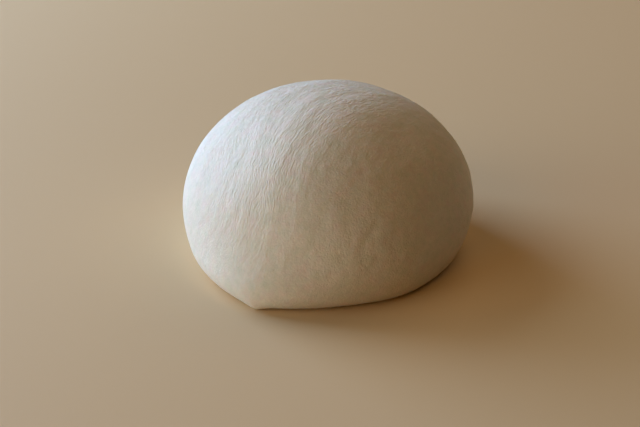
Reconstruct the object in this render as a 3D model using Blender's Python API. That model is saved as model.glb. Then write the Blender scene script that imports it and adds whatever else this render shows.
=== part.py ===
"""A ball of kneaded bread dough, resting on a flat surface.

Run it with: blender --background --python part.py, or from the Text Editor.
Units are metres with +Z up. The origin is the middle of the ball's outline,
on the surface that the ball rests on. The ball is one solid: a sphere whose
points are moved onto a flatter round, with soft swells, a settled underside
and a flat base.
"""

import math

import bpy
import numpy as np

# The round of the ball. The belly is its widest ring.
BELLY_RADIUS = 0.0640
BELLY_HEIGHT = 0.0217
CROWN_RISE = 0.0502  # from the belly up to the top
LEAN = 0.0003  # how far the crown leans towards +X

# The height over which the flank rolls onto the flat base.
BASE_ROLL = 0.0045

# The corner where the dough has been dragged out along the surface. It is
# pointed at the surface, and blunt from CORNER_BLUNT up.
CORNER_REACH = 0.0145
CORNER_AZIMUTH = math.radians(-116.3)
CORNER_SPREAD = math.radians(31.0)
CORNER_HEIGHT = 0.0132
CORNER_POINT = 1.11  # 2 is a round bulge, and 1 comes to a point
CORNER_BLUNT = 0.0100

# The low bulge where the soft dough sags beside the corner.
SAG_REACH = 0.0021
SAG_AZIMUTH = math.radians(-60.2)
SAG_SPREAD = math.radians(15.7)
SAG_HEIGHT = 0.0169

# The skin was drawn over the crown and tucked under along lines on which
# `across` is constant; see across_skin. The shoulder is a long soft ridge on
# one of them. These places and sizes, but its height, are in belly radii.
DRAW_AZIMUTH = math.radians(128.0)
DRAW_RISE = 0.10
DRAW_BEND = 0.61
SHOULDER_HEIGHT = 0.0013
SHOULDER_PLACE = -0.57  # across the lines
SHOULDER_WIDTH = 0.25
SHOULDER_MIDDLE = -0.49  # along the lines, from over the middle of the ball
SHOULDER_LENGTH = 0.41

# Soft swells, and hollows below 0, left by the hands: how far each stands out,
# its azimuth, its height above the surface and its spread.
SWELLS = (
    (-0.0020, math.radians(-36), 0.0600, 0.0118),  # beyond the shoulder
    (-0.0022, math.radians(-152), 0.0488, 0.0152),  # before the shoulder
    (-0.0015, math.radians(-40), 0.0343, 0.0124),  # below the first one
    (0.0014, math.radians(-81), 0.0174, 0.0123),  # above the front edge
    (0.0010, math.radians(-167), 0.0142, 0.0174),  # low on the left
)
SWELL_FADE = 0.0040  # swells die out over this height above the surface

# The mesh.
SEGMENTS = 112
RINGS = 44

SKIN_COLOUR = (0.72, 0.64, 0.50, 1.0)
SKIN_ROUGHNESS = 0.65


def clear_scene():
    for obj in list(bpy.data.objects):
        bpy.data.objects.remove(obj, do_unlink=True)


def bulge(azimuth, height, centre, spread, reach, rise, point=2.0):
    """How far a low bulge stands out: it falls off round the ball and with height."""
    turn = (azimuth - centre + math.pi) % (2 * math.pi) - math.pi
    round_fall = np.exp(-(np.abs(turn) / spread) ** point)
    height_fall = np.exp(-((height / rise) ** 2) / 2)
    return reach * round_fall * height_fall


def settled(height):
    """The height once the ball rests: unchanged above, rolled over near the
    surface, and exactly 0 on the flat base."""
    roll = np.maximum(BASE_ROLL - np.abs(height), 0) / BASE_ROLL
    return np.maximum(height, 0) + roll**2 * BASE_ROLL / 4


def base_edge_angle():
    """The angle from the top at which the underside reaches the flat base."""
    return math.acos(-(BELLY_HEIGHT + BASE_ROLL) / CROWN_RISE)


def ball_form(polar, azimuth):
    """Points of the smooth ball, from each point's angle from the top and its azimuth."""
    radius = BELLY_RADIUS * np.sin(polar)
    height = BELLY_HEIGHT + CROWN_RISE * np.cos(polar)

    point = CORNER_POINT + (2 - CORNER_POINT) * np.clip(height / CORNER_BLUNT, 0, 1)
    corner = bulge(
        azimuth, height, CORNER_AZIMUTH, CORNER_SPREAD, CORNER_REACH, CORNER_HEIGHT, point
    )
    sag = bulge(azimuth, height, SAG_AZIMUTH, SAG_SPREAD, SAG_REACH, SAG_HEIGHT)
    radius = radius + (corner + sag) * (radius / BELLY_RADIUS) ** 2

    lean = LEAN * (height - BELLY_HEIGHT) / CROWN_RISE
    return np.stack(
        [radius * np.cos(azimuth) + lean, radius * np.sin(azimuth), settled(height)], axis=1
    )


def across_skin(points):
    """Where each point is across the drawn lines and along them, in belly radii.

    `across` grows towards DRAW_AZIMUTH, and bends with height, so the lines
    curve over the crown.
    """
    x, y, z = (points - [0, 0, BELLY_HEIGHT]).T / BELLY_RADIUS
    across = x * math.cos(DRAW_AZIMUTH) + y * math.sin(DRAW_AZIMUTH)
    along = x * math.sin(DRAW_AZIMUTH) - y * math.cos(DRAW_AZIMUTH)
    return across + DRAW_RISE * z - DRAW_BEND * z**2, along


def soft_relief(points):
    """How far the shoulder and the swells stand out at each point."""
    across, along = across_skin(points)
    relief = SHOULDER_HEIGHT * np.exp(
        -(((across - SHOULDER_PLACE) / SHOULDER_WIDTH) ** 2)
        - ((along - SHOULDER_MIDDLE) / SHOULDER_LENGTH) ** 2
    )
    for stand, azimuth, height, spread in SWELLS:
        radius = BELLY_RADIUS * math.sqrt(1 - ((height - BELLY_HEIGHT) / CROWN_RISE) ** 2)
        centre = [radius * math.cos(azimuth), radius * math.sin(azimuth), height]
        from_centre = np.linalg.norm(points - centre, axis=1)
        relief += stand * np.exp(-((from_centre / spread) ** 2) / 2)
    return relief * np.clip(points[:, 2] / SWELL_FADE, 0, 1)


def dough_skin_material():
    """The matte cream skin of raw wheat dough."""
    material = bpy.data.materials.new("dough_skin")
    material.use_nodes = True
    shader = material.node_tree.nodes["Principled BSDF"]
    shader.inputs["Base Color"].default_value = SKIN_COLOUR
    shader.inputs["Roughness"].default_value = SKIN_ROUGHNESS
    shader.inputs["Metallic"].default_value = 0.0
    return material


def make_dough_ball(collection):
    bpy.ops.mesh.primitive_uv_sphere_add(segments=SEGMENTS, ring_count=RINGS, radius=1.0)
    ball = bpy.context.object
    ball.name = "dough_ball"
    mesh = ball.data
    mesh.name = "dough_ball"

    sphere = np.empty(len(mesh.vertices) * 3)
    mesh.vertices.foreach_get("co", sphere)
    sphere = sphere.reshape(-1, 3)
    polar = np.arccos(np.clip(sphere[:, 2], -1, 1))
    # One line of points runs down through the corner, so that it stays sharp.
    azimuth = np.arctan2(sphere[:, 1], sphere[:, 0]) + CORNER_AZIMUTH

    # The rings are shared out between the top and the edge of the flat base,
    # so the lowest ring and the middle of the base are the base's own points.
    lowest_ring = math.pi * (RINGS - 1) / RINGS
    in_base = polar > lowest_ring - 0.001
    points = ball_form(polar * base_edge_angle() / lowest_ring, azimuth)
    from_middle = points - [0, 0, BELLY_HEIGHT]
    outwards = from_middle / np.linalg.norm(from_middle, axis=1, keepdims=True)
    points += outwards * soft_relief(points)[:, None]
    points[in_base, 2] = 0.0
    points[polar > math.pi - 0.001] = 0.0

    ring_points = points[:, :2]
    points[:, :2] -= (ring_points.min(axis=0) + ring_points.max(axis=0)) / 2
    mesh.vertices.foreach_set("co", points.ravel())
    mesh.update()
    mesh.shade_smooth()
    mesh.materials.append(dough_skin_material())

    for holder in list(ball.users_collection):
        holder.objects.unlink(ball)
    collection.objects.link(ball)
    return ball


clear_scene()
dough_collection = bpy.data.collections.new("bread_dough_ball")
bpy.context.scene.collection.children.link(dough_collection)
make_dough_ball(dough_collection)
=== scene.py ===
import math

import bpy
import numpy as np
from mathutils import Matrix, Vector, noise


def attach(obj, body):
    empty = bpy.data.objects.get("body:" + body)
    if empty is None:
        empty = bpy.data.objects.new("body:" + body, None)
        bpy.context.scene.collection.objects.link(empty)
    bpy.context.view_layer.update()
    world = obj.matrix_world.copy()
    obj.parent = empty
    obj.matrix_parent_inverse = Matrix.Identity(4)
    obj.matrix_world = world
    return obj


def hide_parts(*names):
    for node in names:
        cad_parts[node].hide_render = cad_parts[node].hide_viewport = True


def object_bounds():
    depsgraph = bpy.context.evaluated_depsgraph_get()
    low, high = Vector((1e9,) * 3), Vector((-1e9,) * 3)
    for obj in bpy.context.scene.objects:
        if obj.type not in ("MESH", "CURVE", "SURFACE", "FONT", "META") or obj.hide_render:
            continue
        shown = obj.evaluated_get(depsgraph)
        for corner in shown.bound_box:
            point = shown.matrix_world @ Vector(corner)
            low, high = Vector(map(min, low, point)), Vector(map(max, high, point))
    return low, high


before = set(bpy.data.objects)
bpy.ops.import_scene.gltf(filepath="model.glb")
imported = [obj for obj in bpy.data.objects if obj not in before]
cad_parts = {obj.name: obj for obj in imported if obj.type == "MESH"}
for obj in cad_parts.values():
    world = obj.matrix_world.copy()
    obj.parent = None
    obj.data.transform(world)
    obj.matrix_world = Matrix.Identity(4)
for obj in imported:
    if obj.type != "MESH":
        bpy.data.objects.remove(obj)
cad_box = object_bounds()

# ---------------------------------------------------------------------------
# Camera: a 50 mm lens on a small-frame body, a little over half a metre from
# the dough and looking down on it.
# ---------------------------------------------------------------------------
LENS = 0.050
SENSOR_WIDTH = 0.0223
CAMERA_DISTANCE = 0.642
CAMERA_AZIMUTH = math.radians(-90.0)
CAMERA_ELEVATION = math.radians(26.0)
CAMERA_TARGET = Vector((-0.0036, 0.0027, 0.0135))
CAMERA_NEAREST = 0.01


def direction(azimuth, elevation):
    """The unit vector turned by azimuth from +X and raised by elevation, in radians."""
    flat = math.cos(elevation)
    return Vector((flat * math.cos(azimuth), flat * math.sin(azimuth), math.sin(elevation)))


bpy.ops.object.select_all(action="DESELECT")
to_camera = direction(CAMERA_AZIMUTH, CAMERA_ELEVATION)
bpy.ops.object.camera_add(
    location=CAMERA_TARGET + to_camera * CAMERA_DISTANCE,
    rotation=to_camera.to_track_quat("Z", "Y").to_euler(),
)
camera = bpy.context.object
camera.name = "camera"
camera.data.sensor_width = SENSOR_WIDTH * 1000
camera.data.lens = LENS * 1000
camera.data.clip_start = CAMERA_NEAREST
bpy.context.scene.camera = camera


# ---------------------------------------------------------------------------
# Floor and light: a plain pale floor and soft lamps: three cool ones low on
# the left and behind, like a window, and two warm weak ones.
# ---------------------------------------------------------------------------
def linear(hex_colour):
    """An sRGB hex colour as the linear numbers that Blender's sockets take."""
    channels = [int(hex_colour[i : i + 2], 16) / 255 for i in (1, 3, 5)]
    return tuple(
        c / 12.92 if c <= 0.04045 else ((c + 0.055) / 1.055) ** 2.4 for c in channels
    ) + (1.0,)


def add_node(material, kind, settings=None, values=None, links=None):
    """Adds a node, sets its properties and its sockets' values, and links its inputs."""
    node = material.node_tree.nodes.new(kind)
    for name, value in (settings or {}).items():
        setattr(node, name, value)
    for socket, value in (values or {}).items():
        node.inputs[socket].default_value = value
    for socket, source in (links or {}).items():
        material.node_tree.links.new(source, node.inputs[socket])
    return node


FLOOR_SIZE = 6.0
FLOOR_COLOUR = "#E1C69B"
FLOOR_ROUGHNESS = 0.7

bpy.ops.object.select_all(action="DESELECT")
bpy.ops.mesh.primitive_plane_add(size=FLOOR_SIZE)
floor = bpy.context.object
floor.name = "floor"
floor_paint = bpy.data.materials.new("floor_paint")
floor_paint.use_nodes = True
floor_shader = floor_paint.node_tree.nodes["Principled BSDF"]
floor_shader.inputs["Base Color"].default_value = linear(FLOOR_COLOUR)
floor_shader.inputs["Roughness"].default_value = FLOOR_ROUGHNESS
floor.data.materials.append(floor_paint)

LAMP_DISTANCE = 1.6
WINDOW_SIZE = (1.2, 0.9)
WARM_SIZE = (1.6, 1.2)


def add_lamp(name, azimuth, elevation, size, watts, colour):
    """A soft rectangular lamp, that many degrees round from +X and above the floor."""
    to_lamp = direction(math.radians(azimuth), math.radians(elevation))
    bpy.ops.object.light_add(
        type="AREA",
        location=to_lamp * LAMP_DISTANCE,
        rotation=(-to_lamp).to_track_quat("-Z", "Y").to_euler(),
    )
    lamp = bpy.context.object
    lamp.name = name
    lamp.data.shape = "RECTANGLE"
    lamp.data.size, lamp.data.size_y = size
    lamp.data.energy = watts
    lamp.data.color = linear(colour)[:3]


add_lamp("window_low", 145, 15, WINDOW_SIZE, 19.9, "#9BC1FF")
add_lamp("window_high", 145, 30, WINDOW_SIZE, 14.3, "#E1F1FF")
add_lamp("window_left", 200, 15, WINDOW_SIZE, 9.1, "#AAE3FF")
add_lamp("warm_front", 220, 25, WARM_SIZE, 7.4, "#FFB848")
add_lamp("warm_back", 50, 50, WARM_SIZE, 5.4, "#FFD8A8")

ROOM_COLOUR = "#FFF4E4"
ROOM_STRENGTH = 0.01

room = bpy.data.worlds.new("room")
room.use_nodes = True
room.node_tree.nodes["Background"].inputs["Color"].default_value = linear(ROOM_COLOUR)
room.node_tree.nodes["Background"].inputs["Strength"].default_value = ROOM_STRENGTH
bpy.context.scene.world = room
bpy.context.scene.view_settings.view_transform = "Standard"

# ---------------------------------------------------------------------------
# Dough ball: raw wheat dough, kneaded until its skin is smooth and drawn over
# the crown by hand, which leaves fine stretch lines. It is one solid mass.
# ---------------------------------------------------------------------------
# The belly is the ball's widest ring.
BELLY_RADIUS = 0.0640
BELLY_CENTRE = np.array((0.0003, 0.0027, 0.0217))

# The stretch lines: `across` is constant on each. It grows towards this
# azimuth, and bends with height, so the lines curve over the crown.
DRAW_AZIMUTH = math.radians(128.0)
DRAW_RISE = 0.10
DRAW_BEND = 0.61


def across_skin(points):
    """The distance across the stretch lines at each point, in metres."""
    x, y, z = (points - BELLY_CENTRE).T / BELLY_RADIUS
    across = x * math.cos(DRAW_AZIMUTH) + y * math.sin(DRAW_AZIMUTH)
    return BELLY_RADIUS * (across + DRAW_RISE * z - DRAW_BEND * z**2)


def smooth_step(low, high, value):
    """0 up to low, 1 from high on, and a smooth rise between them."""
    t = np.clip((value - low) / (high - low), 0, 1)
    return t * t * (3 - 2 * t)


# The form: a copy of the solid, merged and rounded, for the skin to be laid on.
# It stays sharp along the corner where the dough was dragged out.
CORNER_AZIMUTH = math.radians(-116.3)
CORNER_TOP = 0.0120  # the corner is round from here up
ON_CORNER = 0.01  # a point this near CORNER_AZIMUTH, in radians, is on the corner
BASE_MIDDLE = 0.01  # no point of the base is this near its middle but the middle point
MERGE_DISTANCE = 0.00001
ROUNDING_LEVELS = 2

bpy.ops.object.select_all(action="DESELECT")
form = bpy.data.objects.new("form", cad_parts["dough_ball"].data.copy())
bpy.context.scene.collection.objects.link(form)
bpy.context.view_layer.objects.active = form
form.select_set(True)
bpy.ops.object.mode_set(mode="EDIT")
bpy.ops.mesh.select_all(action="SELECT")
bpy.ops.mesh.remove_doubles(threshold=MERGE_DISTANCE)
bpy.ops.mesh.tris_convert_to_quads()
bpy.ops.object.mode_set(mode="OBJECT")


def crease_of(edge):
    """How sharp an edge of the form stays: fully round the flat base, and less up the corner."""
    ends = [form.data.vertices[i].co for i in edge.vertices]
    if all(end.z < MERGE_DISTANCE and end.length > BASE_MIDDLE for end in ends):
        return 1.0
    azimuths = [math.atan2(end.y - BELLY_CENTRE[1], end.x - BELLY_CENTRE[0]) for end in ends]
    if all(abs(azimuth - CORNER_AZIMUTH) < ON_CORNER for azimuth in azimuths):
        return max(0.0, 1 - max(end.z for end in ends) / CORNER_TOP)
    return 0.0


creases = form.data.attributes.new("crease_edge", "FLOAT", "EDGE")
creases.data.foreach_set("value", [crease_of(edge) for edge in form.data.edges])
rounding = form.modifiers.new("rounding", "SUBSURF")
rounding.levels = rounding.render_levels = ROUNDING_LEVELS
bpy.ops.object.modifier_apply(modifier=rounding.name)

# The skin: a sphere whose poles lie where the stretch lines close up, so that
# its rings run along them. Its rings are closest where the lines are, and its
# segments widest apart under the ball.
SKIN_RINGS = 374
SKIN_SEGMENTS = 260
POLE_AZIMUTH = DRAW_AZIMUTH - math.pi
POLE_ELEVATION = math.radians(18.0)
LINED = (40, 56, 114, 130)  # degrees from the pole: where the lines set in and give out
LINED_CLOSENESS = 0.9  # how much closer the rings are there
UNDERSIDE = (43, 67)  # degrees from the middle of the base: where the underside ends
UNDERSIDE_CLOSENESS = 0.35  # of the segments, beside 1 elsewhere
SPREAD_STEPS = 20000

pole = direction(POLE_AZIMUTH, POLE_ELEVATION)
bpy.ops.object.select_all(action="DESELECT")
bpy.ops.mesh.primitive_uv_sphere_add(
    segments=SKIN_SEGMENTS,
    ring_count=SKIN_RINGS,
    location=BELLY_CENTRE,
    rotation=pole.to_track_quat("Z", "Y").to_euler(),
)
dough = bpy.context.object
dough.name = "dough"
dough.data.name = "dough"


def read_points(mesh, name="co"):
    """The mesh's points, or their normals, one to a row."""
    values = np.empty(len(mesh.vertices) * 3)
    mesh.vertices.foreach_get(name, values)
    return values.reshape(-1, 3)


def move_points(mesh, points):
    mesh.vertices.foreach_set("co", points.ravel())
    mesh.update()


def spread(count, low, high, closeness):
    """Angles from low to high, closest together where closeness is greatest."""
    angles = np.linspace(low, high, SPREAD_STEPS + 1)
    shares = np.cumsum(closeness((angles[1:] + angles[:-1]) / 2))
    shares = np.concatenate([[0], shares]) / shares[-1]
    return np.interp(np.linspace(0, 1, count), shares, angles)


def between(angle, low, low_end, high_end, high):
    """1 from low_end to high_end, falling to 0 at low and high."""
    return smooth_step(low, low_end, angle) * (1 - smooth_step(high_end, high, angle))


def from_base(turn):
    """How far round the poles a turn is from the middle of the base, in degrees."""
    return np.degrees(np.abs((turn + 1.5 * math.pi) % math.tau - math.pi))


def ring_closeness(polar):
    return 1 + LINED_CLOSENESS * between(np.degrees(polar), *LINED)


def segment_closeness(turn):
    return UNDERSIDE_CLOSENESS + (1 - UNDERSIDE_CLOSENESS) * smooth_step(*UNDERSIDE, from_base(turn))


# Each point's ring and segment, read back from its place on the primitive.
sphere = read_points(dough.data)
ring = np.rint(np.arccos(np.clip(sphere[:, 2], -1, 1)) / math.pi * SKIN_RINGS).astype(int)
segment = np.rint(np.arctan2(sphere[:, 1], sphere[:, 0]) / math.tau * SKIN_SEGMENTS).astype(int)
segment %= SKIN_SEGMENTS

ring_polar = spread(SKIN_RINGS + 1, 0, math.pi, ring_closeness)
segment_turn = spread(SKIN_SEGMENTS + 1, 0, math.tau, segment_closeness)[:-1]
polar, turn = ring_polar[ring], segment_turn[segment]
sphere = np.stack([np.sin(polar) * np.cos(turn), np.sin(polar) * np.sin(turn), np.cos(polar)], axis=1)
move_points(dough.data, 2 * BELLY_RADIUS * sphere)  # clear of the form all round
bpy.ops.object.transform_apply(location=True, rotation=True, scale=True)

laying = dough.modifiers.new("laying", "SHRINKWRAP")
laying.target = form
laying.wrap_method = "PROJECT"
laying.use_negative_direction = True
laying.use_positive_direction = False
bpy.ops.object.modifier_apply(modifier=laying.name)
bpy.data.objects.remove(form, do_unlink=True)

# Each ring slides along the segments until it lies on one stretch line, except
# near the poles and under the base.
SLIDING = (24, 56, 100, 150)  # degrees from the pole
SLIDING_FROM_BASE = (50, 90)  # degrees from the middle of the base
CLEAR_OF_BASE = 70  # a ring's line is the middle one of its points further out than this
LEAST_RISE = 1e-9  # from one ring to the next, where a segment doesn't rise

points = read_points(dough.data)
grid = np.empty((SKIN_RINGS + 1, SKIN_SEGMENTS, 3))
grid[ring, segment] = points
for end in (0, SKIN_RINGS):  # each pole is one point, and the end of every segment
    grid[end] = points[ring == end][0]
across = across_skin(grid.reshape(-1, 3)).reshape(grid.shape[:2])
level = np.median(across[:, from_base(segment_turn) > CLEAR_OF_BASE], axis=1)
steps = np.arange(SKIN_RINGS + 1.0)
ring_share = between(np.degrees(ring_polar), *SLIDING)
segment_share = smooth_step(*SLIDING_FROM_BASE, from_base(segment_turn))
laid = np.empty_like(grid)
for j in range(SKIN_SEGMENTS):
    rising = np.maximum.accumulate(across[:, j]) + steps * LEAST_RISE
    slid = steps + ring_share * segment_share[j] * (np.interp(level, rising, steps) - steps)
    for axis in range(3):
        laid[:, j, axis] = np.interp(slid, steps, grid[:, j, axis])
move_points(dough.data, laid[ring, segment])

# Where each point is across the stretch lines, beside the pole and above it,
# and along the stretch line that it lies on, from its top.
points = read_points(dough.data)
across = across_skin(points)
to_side = np.array(pole.cross(Vector((0, 0, 1))).normalized())
to_top = np.cross(to_side, np.array(pole))
beside = (points - BELLY_CENTRE) @ to_side
above = (points - BELLY_CENTRE) @ to_top
along = np.hypot(beside, above) * np.arctan2(beside, above)

# The relief of the skin, from broad waves to fine lines. Each kind has a pitch
# across the stretch lines, a length along them, the height of its relief, and
# how far its lines lean to one side, so that fine ones cross.
STREAKS = (
    (0.0110, 0.0260, 0.00024, 0.0),
    (0.0055, 0.0170, 0.00014, 0.0),
    (0.0028, 0.0110, 0.000045, -0.06),
    (0.0016, 0.0068, 0.000025, 0.04),
    (0.0010, 0.0044, 0.000045, -0.08),
)
# More lines for the crown, where the dough was drawn tightest.
CROWN_STREAKS = (
    (0.0026, 0.0140, 0.00003, 0.0),
    (0.0015, 0.0090, 0.00003, 0.0),
)
# The shallow dimples of skin that wasn't drawn.
PITTING = (
    (0.0075, 0.0120, 0.00012, 0.0),
    (0.0036, 0.0064, 0.00009, 0.0),
    (0.0018, 0.0034, 0.00010, 0.0),
)
WANDER = 0.0012  # how far a line wanders aside, over WANDER_LENGTH
WANDER_LENGTH = 0.0120

# Each kind of relief reads the noise at a turn of its own, NOISE_STEP apart.
STREAKS_TURN, CROWN_TURN, PITTING_TURN, WANDER_TURN = 0, 5, 9, 20
NOISE_STEP = 7.3


def noise_at(places, turn):
    """Smooth noise, about -0.5 to 0.5, that is different for each turn."""
    return np.array([noise.noise(place) for place in places + NOISE_STEP * turn])


def relief_of(kinds, first_turn):
    """The height of these kinds of relief at each point, in metres."""
    relief = np.zeros(len(points))
    for turn, (pitch, length, rise, lean) in enumerate(kinds, first_turn):
        places = np.stack(
            [(across + lean * along) / pitch, beside / length, above / length], axis=1
        )
        relief += rise * noise_at(places, turn)
    return relief


# Single soft folds and grooves left by the hands: the places on the skin that
# each runs through, its width and its rise, which is below 0 for a groove.
FOLDS = (
    # over the crest
    (
        ((-0.0110, -0.0269, 0.0663), (-0.0183, -0.0371, 0.0590), (-0.0244, -0.0423, 0.0520)),
        0.0024,
        0.00014,
    ),
    (((-0.0048, -0.0290, 0.0663), (-0.0130, -0.0375, 0.0606)), 0.0022, -0.00012),
    (((-0.0262, -0.0198, 0.0633), (-0.0289, -0.0267, 0.0590)), 0.0010, -0.00008),
    (((-0.0328, -0.0244, 0.0576), (-0.0360, -0.0293, 0.0525)), 0.0011, -0.00010),
    (((-0.0398, -0.0303, 0.0484), (-0.0418, -0.0343, 0.0433)), 0.0010, -0.00008),
    (((-0.0117, -0.0449, 0.0554), (-0.0145, -0.0491, 0.0502)), 0.0015, -0.00010),
    (((-0.0057, -0.0072, 0.0713), (0.0032, -0.0027, 0.0719)), 0.0006, -0.00010),
    (((0.0026, -0.0214, 0.0689), (0.0098, -0.0167, 0.0693), (0.0183, -0.0119, 0.0682)), 0.0007, 0.00007),
    # a broad soft hollow at the very top
    (((-0.0010, 0.0030, 0.0720), (0.0010, 0.0030, 0.0720)), 0.0090, -0.00016),
    # above the front edge
    (((0.0036, -0.0557, 0.0435), (0.0028, -0.0595, 0.0365)), 0.0026, 0.00012),
    (((-0.0016, -0.0563, 0.0429), (-0.0028, -0.0589, 0.0380)), 0.0018, -0.00009),
    (((0.0101, -0.0554, 0.0425), (0.0065, -0.0539, 0.0458)), 0.0018, -0.00007),
    (((0.0117, -0.0595, 0.0338), (0.0097, -0.0630, 0.0238)), 0.0016, 0.00019),
    (((0.0194, -0.0553, 0.0380), (0.0137, -0.0605, 0.0298)), 0.0012, -0.00015),
    (((0.0231, -0.0548, 0.0359), (0.0215, -0.0585, 0.0278)), 0.0026, 0.00019),
    (((0.0272, -0.0535, 0.0325), (0.0265, -0.0562, 0.0275)), 0.0015, -0.00014),
    (((0.0298, -0.0526, 0.0330), (0.0315, -0.0541, 0.0246), (0.0295, -0.0559, 0.0200)), 0.0012, 0.00012),
    # a small burst blister: its hollow, its lip on two sides and the groove outside
    (((0.0284, -0.0564, 0.0216), (0.0290, -0.0561, 0.0219)), 0.0009, -0.00022),
    (((0.0311, -0.0548, 0.0220), (0.0305, -0.0553, 0.0206), (0.0293, -0.0561, 0.0199)), 0.0005, 0.00032),
    (((0.0293, -0.0561, 0.0199), (0.0276, -0.0570, 0.0201)), 0.0005, 0.00020),
    (((0.0318, -0.0545, 0.0198), (0.0297, -0.0559, 0.0185)), 0.0006, -0.00016),
    # two short grooves beside it
    (((0.0203, -0.0599, 0.0240), (0.0175, -0.0615, 0.0193)), 0.0011, -0.00020),
    (((0.0234, -0.0590, 0.0143), (0.0240, -0.0594, 0.0118)), 0.0006, -0.00018),
)
FOLD_WANDER = 0.9  # how far a fold wanders aside, in its own widths
FOLD_WANDER_LENGTH = 0.0050
FOLD_WANDER_SEED = 1  # noise_vector shifts its noise by a random draw, so that is seeded


def fold_relief():
    """The height of the single folds and grooves at each point, in metres."""
    relief = np.zeros(len(points))
    noise.seed_set(FOLD_WANDER_SEED)
    wander = FOLD_WANDER * np.array(
        [noise.noise_vector(place) for place in points / FOLD_WANDER_LENGTH]
    )
    for places, width, rise in FOLDS:
        places = np.array(places)
        wandering = points + width * wander
        share = np.zeros(len(points))
        for start, end in zip(places[:-1], places[1:]):
            run = end - start
            part = np.clip((wandering - start) @ run / (run @ run), 0, 1)
            aside = wandering - start - part[:, None] * run
            share = np.maximum(share, np.exp(-(aside * aside).sum(axis=1) / width**2 / 2))
        relief += rise * share
    return relief


# How much of each kind of relief there is at each point. A share changes over a
# range of places, in metres: across the lines, or to the right, back or up.
SET_IN_ACROSS = (-0.0400, -0.0170)  # the drawn skin sets in at the shoulder
SET_IN_SLANT, SET_IN_HEIGHT = 0.4, 0.0400  # earlier above this height, and later below
FLANK_UP, FLANK_LEAST = (0.0200, 0.0460), 0.2  # the lines are faint low on the flank
CREST_UP, CREST_GAIN = (0.0600, 0.0710), 0.3  # and deeper on top
BEHIND_ACROSS, BEHIND_GAIN = (-0.0180, -0.0040), 0.2  # and behind the shoulder
DRAWN_LEAST = 0.15  # faint lines are left where the skin isn't drawn
CROWN_UP = (0.0550, 0.0700)  # the crown has lines of its own

COARSE_RIGHT, COARSE_BACK = (0.0050, 0.0600), (-0.0300, 0.0200)  # coarse at the front right
CALM_BACK, CALM_LOSS = (0.0100, 0.0450), 0.4  # smoother at the back
PITTED_RIGHT, PITTED_LEAST = (-0.0500, -0.0150), 0.4  # smoother on the left
DRAWN_PITTING_LOSS, DRAWN_GRAIN_LOSS = 0.8, 0.5  # drawing the skin smooths it
COARSE_GRAIN_GAIN = 1.3
RELIEF_UP = (0.0010, 0.0100)  # the skin is smooth where it meets the floor

right, back, up = points.T
drawn = smooth_step(*SET_IN_ACROSS, across + SET_IN_SLANT * (up - SET_IN_HEIGHT))
across += WANDER * noise_at(points / WANDER_LENGTH, WANDER_TURN)
flank = FLANK_LEAST + (1 - FLANK_LEAST) * smooth_step(*FLANK_UP, up)
drawn *= flank + CREST_GAIN * smooth_step(*CREST_UP, up)
drawn *= 1 + BEHIND_GAIN * smooth_step(*BEHIND_ACROSS, across)
drawn = DRAWN_LEAST + (1 - DRAWN_LEAST) * drawn
crown = drawn * smooth_step(*CROWN_UP, up)

coarse = smooth_step(*COARSE_RIGHT, right) * (1 - smooth_step(*COARSE_BACK, back))
calm = 1 - CALM_LOSS * smooth_step(*CALM_BACK, back)
pitted = PITTED_LEAST + (1 - PITTED_LEAST) * smooth_step(*PITTED_RIGHT, right) + coarse
pitted *= (1 - DRAWN_PITTING_LOSS * drawn).clip(0) * calm
grainy = (1 - DRAWN_GRAIN_LOSS * drawn) * (1 + COARSE_GRAIN_GAIN * coarse) * calm

relief = drawn * relief_of(STREAKS, STREAKS_TURN)
relief += crown * relief_of(CROWN_STREAKS, CROWN_TURN)
relief += pitted * relief_of(PITTING, PITTING_TURN)
relief += fold_relief()
relief *= smooth_step(*RELIEF_UP, up)

# The finest lines and the grain are left to the material, which reads these.
CREPE_LEAST = 0.12
for name, values in (
    ("across", across),
    ("along", along),
    ("drawn", CREPE_LEAST + (1 - CREPE_LEAST) * drawn),
    ("grainy", grainy),
):
    dough.data.attributes.new(name, "FLOAT", "POINT").data.foreach_set("value", values)

# The tip of the corner is drawn out a little further along the floor, and the
# skin stays inside the solid's box.
TIP_PLACE = np.array((-0.0296, -0.0575, 0.0))
TIP_REACH = 0.0025
TIP_SPREAD = 0.0032

points = points + read_points(dough.data, "normal") * relief[:, None]
from_tip = np.linalg.norm(points - TIP_PLACE, axis=1)
points[:, 1] -= TIP_REACH * np.exp(-((from_tip / TIP_SPREAD) ** 2) / 2)
move_points(dough.data, np.clip(points, cad_box[0], cad_box[1]))
dough.data.shade_smooth()

# Raw wheat dough, kneaded: matte, pale cream and a little translucent, with a
# crepe of fine lines where it is drawn, a fine grain, and a faint mottle. The
# real crepe and grain, near 0.2 mm, are too fine to show and are drawn coarser.
DOUGH_COLOUR = "#EAE3D3"
PINK_MOTTLE = "#EDDFD2"
GREEN_MOTTLE = "#E2E0CD"
MOTTLE_SIZE = 0.0060
MOTTLE_PLACES = (0.30, 0.50, 0.70)  # of green, cream and pink in the noise
TONE_SIZE, TONE_DEPTH = 0.0036, 0.085  # lighter and darker flecks
TONE_RANGE = (0.25, 0.75)  # of the noise
CREPE_PITCH, CREPE_LENGTH, CREPE_RISE = 0.00053, 0.00260, 0.00040
CREPE_LEAN = 0.10  # two sets of lines cross, each leaning this far to one side
CREPE_WEAK = 0.3  # the strength of one set where the other is at its strongest
PATCH_SIZE = 0.0050
PATCH_RANGE = (0.40, 0.60)  # of the noise, over which one set gives way to the other
GRAIN_SIZE, GRAIN_RISE = 0.00080, 0.00020
DOUGH_ROUGHNESS = 0.62
DOUGH_IOR = 1.40
TRANSLUCENCE = 0.2
LIGHT_DEPTH = 0.003  # how far light goes in
LIGHT_DEPTH_SHARES = (1.0, 0.75, 0.5)  # red light goes furthest, and blue least far

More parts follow.
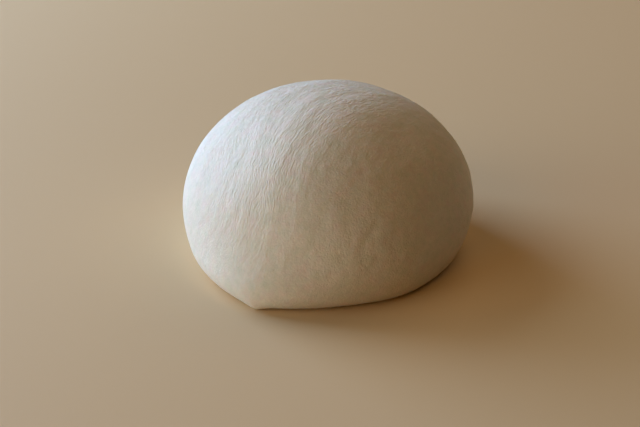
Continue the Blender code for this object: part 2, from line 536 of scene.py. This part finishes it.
dough_skin = bpy.data.materials.new("raw_wheat_dough")
dough_skin.use_nodes = True
shader = dough_skin.node_tree.nodes["Principled BSDF"]
shader.inputs["Roughness"].default_value = DOUGH_ROUGHNESS
shader.inputs["IOR"].default_value = DOUGH_IOR
shader.inputs["Subsurface Weight"].default_value = TRANSLUCENCE
shader.inputs["Subsurface Radius"].default_value = LIGHT_DEPTH_SHARES
shader.inputs["Subsurface Scale"].default_value = LIGHT_DEPTH

object_place = add_node(dough_skin, "ShaderNodeTexCoord").outputs["Object"]
across_here, along_here, drawn_here, grainy_here = (
    add_node(dough_skin, "ShaderNodeAttribute", {"attribute_name": name}).outputs["Fac"]
    for name in ("across", "along", "drawn", "grainy")
)

# The colour: cream that turns a little green or pink from place to place.
mottle = add_node(
    dough_skin,
    "ShaderNodeTexNoise",
    values={"Scale": 1 / MOTTLE_SIZE, "Detail": 3.0, "Roughness": 0.7},
    links={"Vector": object_place},
)
mottle_colours = add_node(dough_skin, "ShaderNodeValToRGB", links={"Fac": mottle.outputs["Fac"]})
stops = mottle_colours.color_ramp.elements
stops.new(MOTTLE_PLACES[1])
for stop, place, colour in zip(
    stops, MOTTLE_PLACES, (GREEN_MOTTLE, DOUGH_COLOUR, PINK_MOTTLE)
):
    stop.position = place
    stop.color = linear(colour)
tone = add_node(
    dough_skin,
    "ShaderNodeTexNoise",
    values={"Scale": 1 / TONE_SIZE, "Detail": 4.0, "Roughness": 0.8},
    links={"Vector": object_place},
)
tone_share = add_node(
    dough_skin,
    "ShaderNodeMapRange",
    values={
        "From Min": TONE_RANGE[0],
        "From Max": TONE_RANGE[1],
        "To Min": 1 - TONE_DEPTH,
        "To Max": 1 + TONE_DEPTH,
    },
    links={"Value": tone.outputs["Fac"]},
)
toned = add_node(
    dough_skin,
    "ShaderNodeMix",
    {"data_type": "RGBA", "blend_type": "MULTIPLY"},
    {"Factor": 1.0},
    {6: mottle_colours.outputs["Color"], 7: tone_share.outputs["Result"]},
)
dough_skin.node_tree.links.new(toned.outputs[2], shader.inputs["Base Color"])

# The crepe: two sets of fine lines, which cross, each stronger in some patches
# than in others.
patches = add_node(
    dough_skin,
    "ShaderNodeTexNoise",
    values={"Scale": 1 / PATCH_SIZE, "Detail": 1.0},
    links={"Vector": object_place},
)
patch_share = add_node(
    dough_skin,
    "ShaderNodeMapRange",
    values={"From Min": PATCH_RANGE[0], "From Max": PATCH_RANGE[1]},
    links={"Value": patches.outputs["Fac"]},
)
crepe_length = add_node(
    dough_skin,
    "ShaderNodeVectorMath",
    {"operation": "SCALE"},
    {"Scale": 1 / CREPE_LENGTH},
    {0: object_place},
)
set_heights = []
for lean, outside, inside in ((CREPE_LEAN, CREPE_WEAK, 1.0), (-CREPE_LEAN, 1.0, CREPE_WEAK)):
    leaned = add_node(
        dough_skin,
        "ShaderNodeMath",
        {"operation": "MULTIPLY_ADD"},
        {1: lean},
        {0: along_here, 2: across_here},
    )
    crepe_place = add_node(
        dough_skin,
        "ShaderNodeMath",
        {"operation": "DIVIDE"},
        {1: CREPE_PITCH},
        {0: leaned.outputs["Value"]},
    )
    crepe = add_node(
        dough_skin,
        "ShaderNodeTexNoise",
        {"noise_dimensions": "4D"},
        {"Scale": 1.0, "Detail": 1.0, "Roughness": 0.5},
        {"Vector": crepe_length.outputs["Vector"], "W": crepe_place.outputs["Value"]},
    )
    set_share = add_node(
        dough_skin,
        "ShaderNodeMapRange",
        values={"To Min": outside, "To Max": inside},
        links={"Value": patch_share.outputs["Result"]},
    )
    set_height = add_node(
        dough_skin,
        "ShaderNodeMath",
        {"operation": "MULTIPLY"},
        links={0: crepe.outputs["Fac"], 1: set_share.outputs["Result"]},
    )
    set_heights.append(set_height.outputs["Value"])
both_sets = add_node(
    dough_skin,
    "ShaderNodeMath",
    {"operation": "ADD"},
    links={0: set_heights[0], 1: set_heights[1]},
)
crepe_height = add_node(
    dough_skin,
    "ShaderNodeMath",
    {"operation": "MULTIPLY"},
    links={0: both_sets.outputs["Value"], 1: drawn_here},
)
crepe_bump = add_node(
    dough_skin,
    "ShaderNodeBump",
    values={"Strength": 1.0, "Distance": CREPE_RISE},
    links={"Height": crepe_height.outputs["Value"]},
)

# The grain: fine specks with no direction, laid over the crepe.
grain = add_node(
    dough_skin,
    "ShaderNodeTexNoise",
    values={"Scale": 1 / GRAIN_SIZE, "Detail": 2.0, "Roughness": 0.6},
    links={"Vector": object_place},
)
grain_height = add_node(
    dough_skin,
    "ShaderNodeMath",
    {"operation": "MULTIPLY"},
    links={0: grain.outputs["Fac"], 1: grainy_here},
)
grain_bump = add_node(
    dough_skin,
    "ShaderNodeBump",
    values={"Strength": 1.0, "Distance": GRAIN_RISE},
    links={"Height": grain_height.outputs["Value"], "Normal": crepe_bump.outputs["Normal"]},
)
dough_skin.node_tree.links.new(grain_bump.outputs["Normal"], shader.inputs["Normal"])
dough.data.materials.append(dough_skin)

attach(dough, "root")
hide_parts("dough_ball")
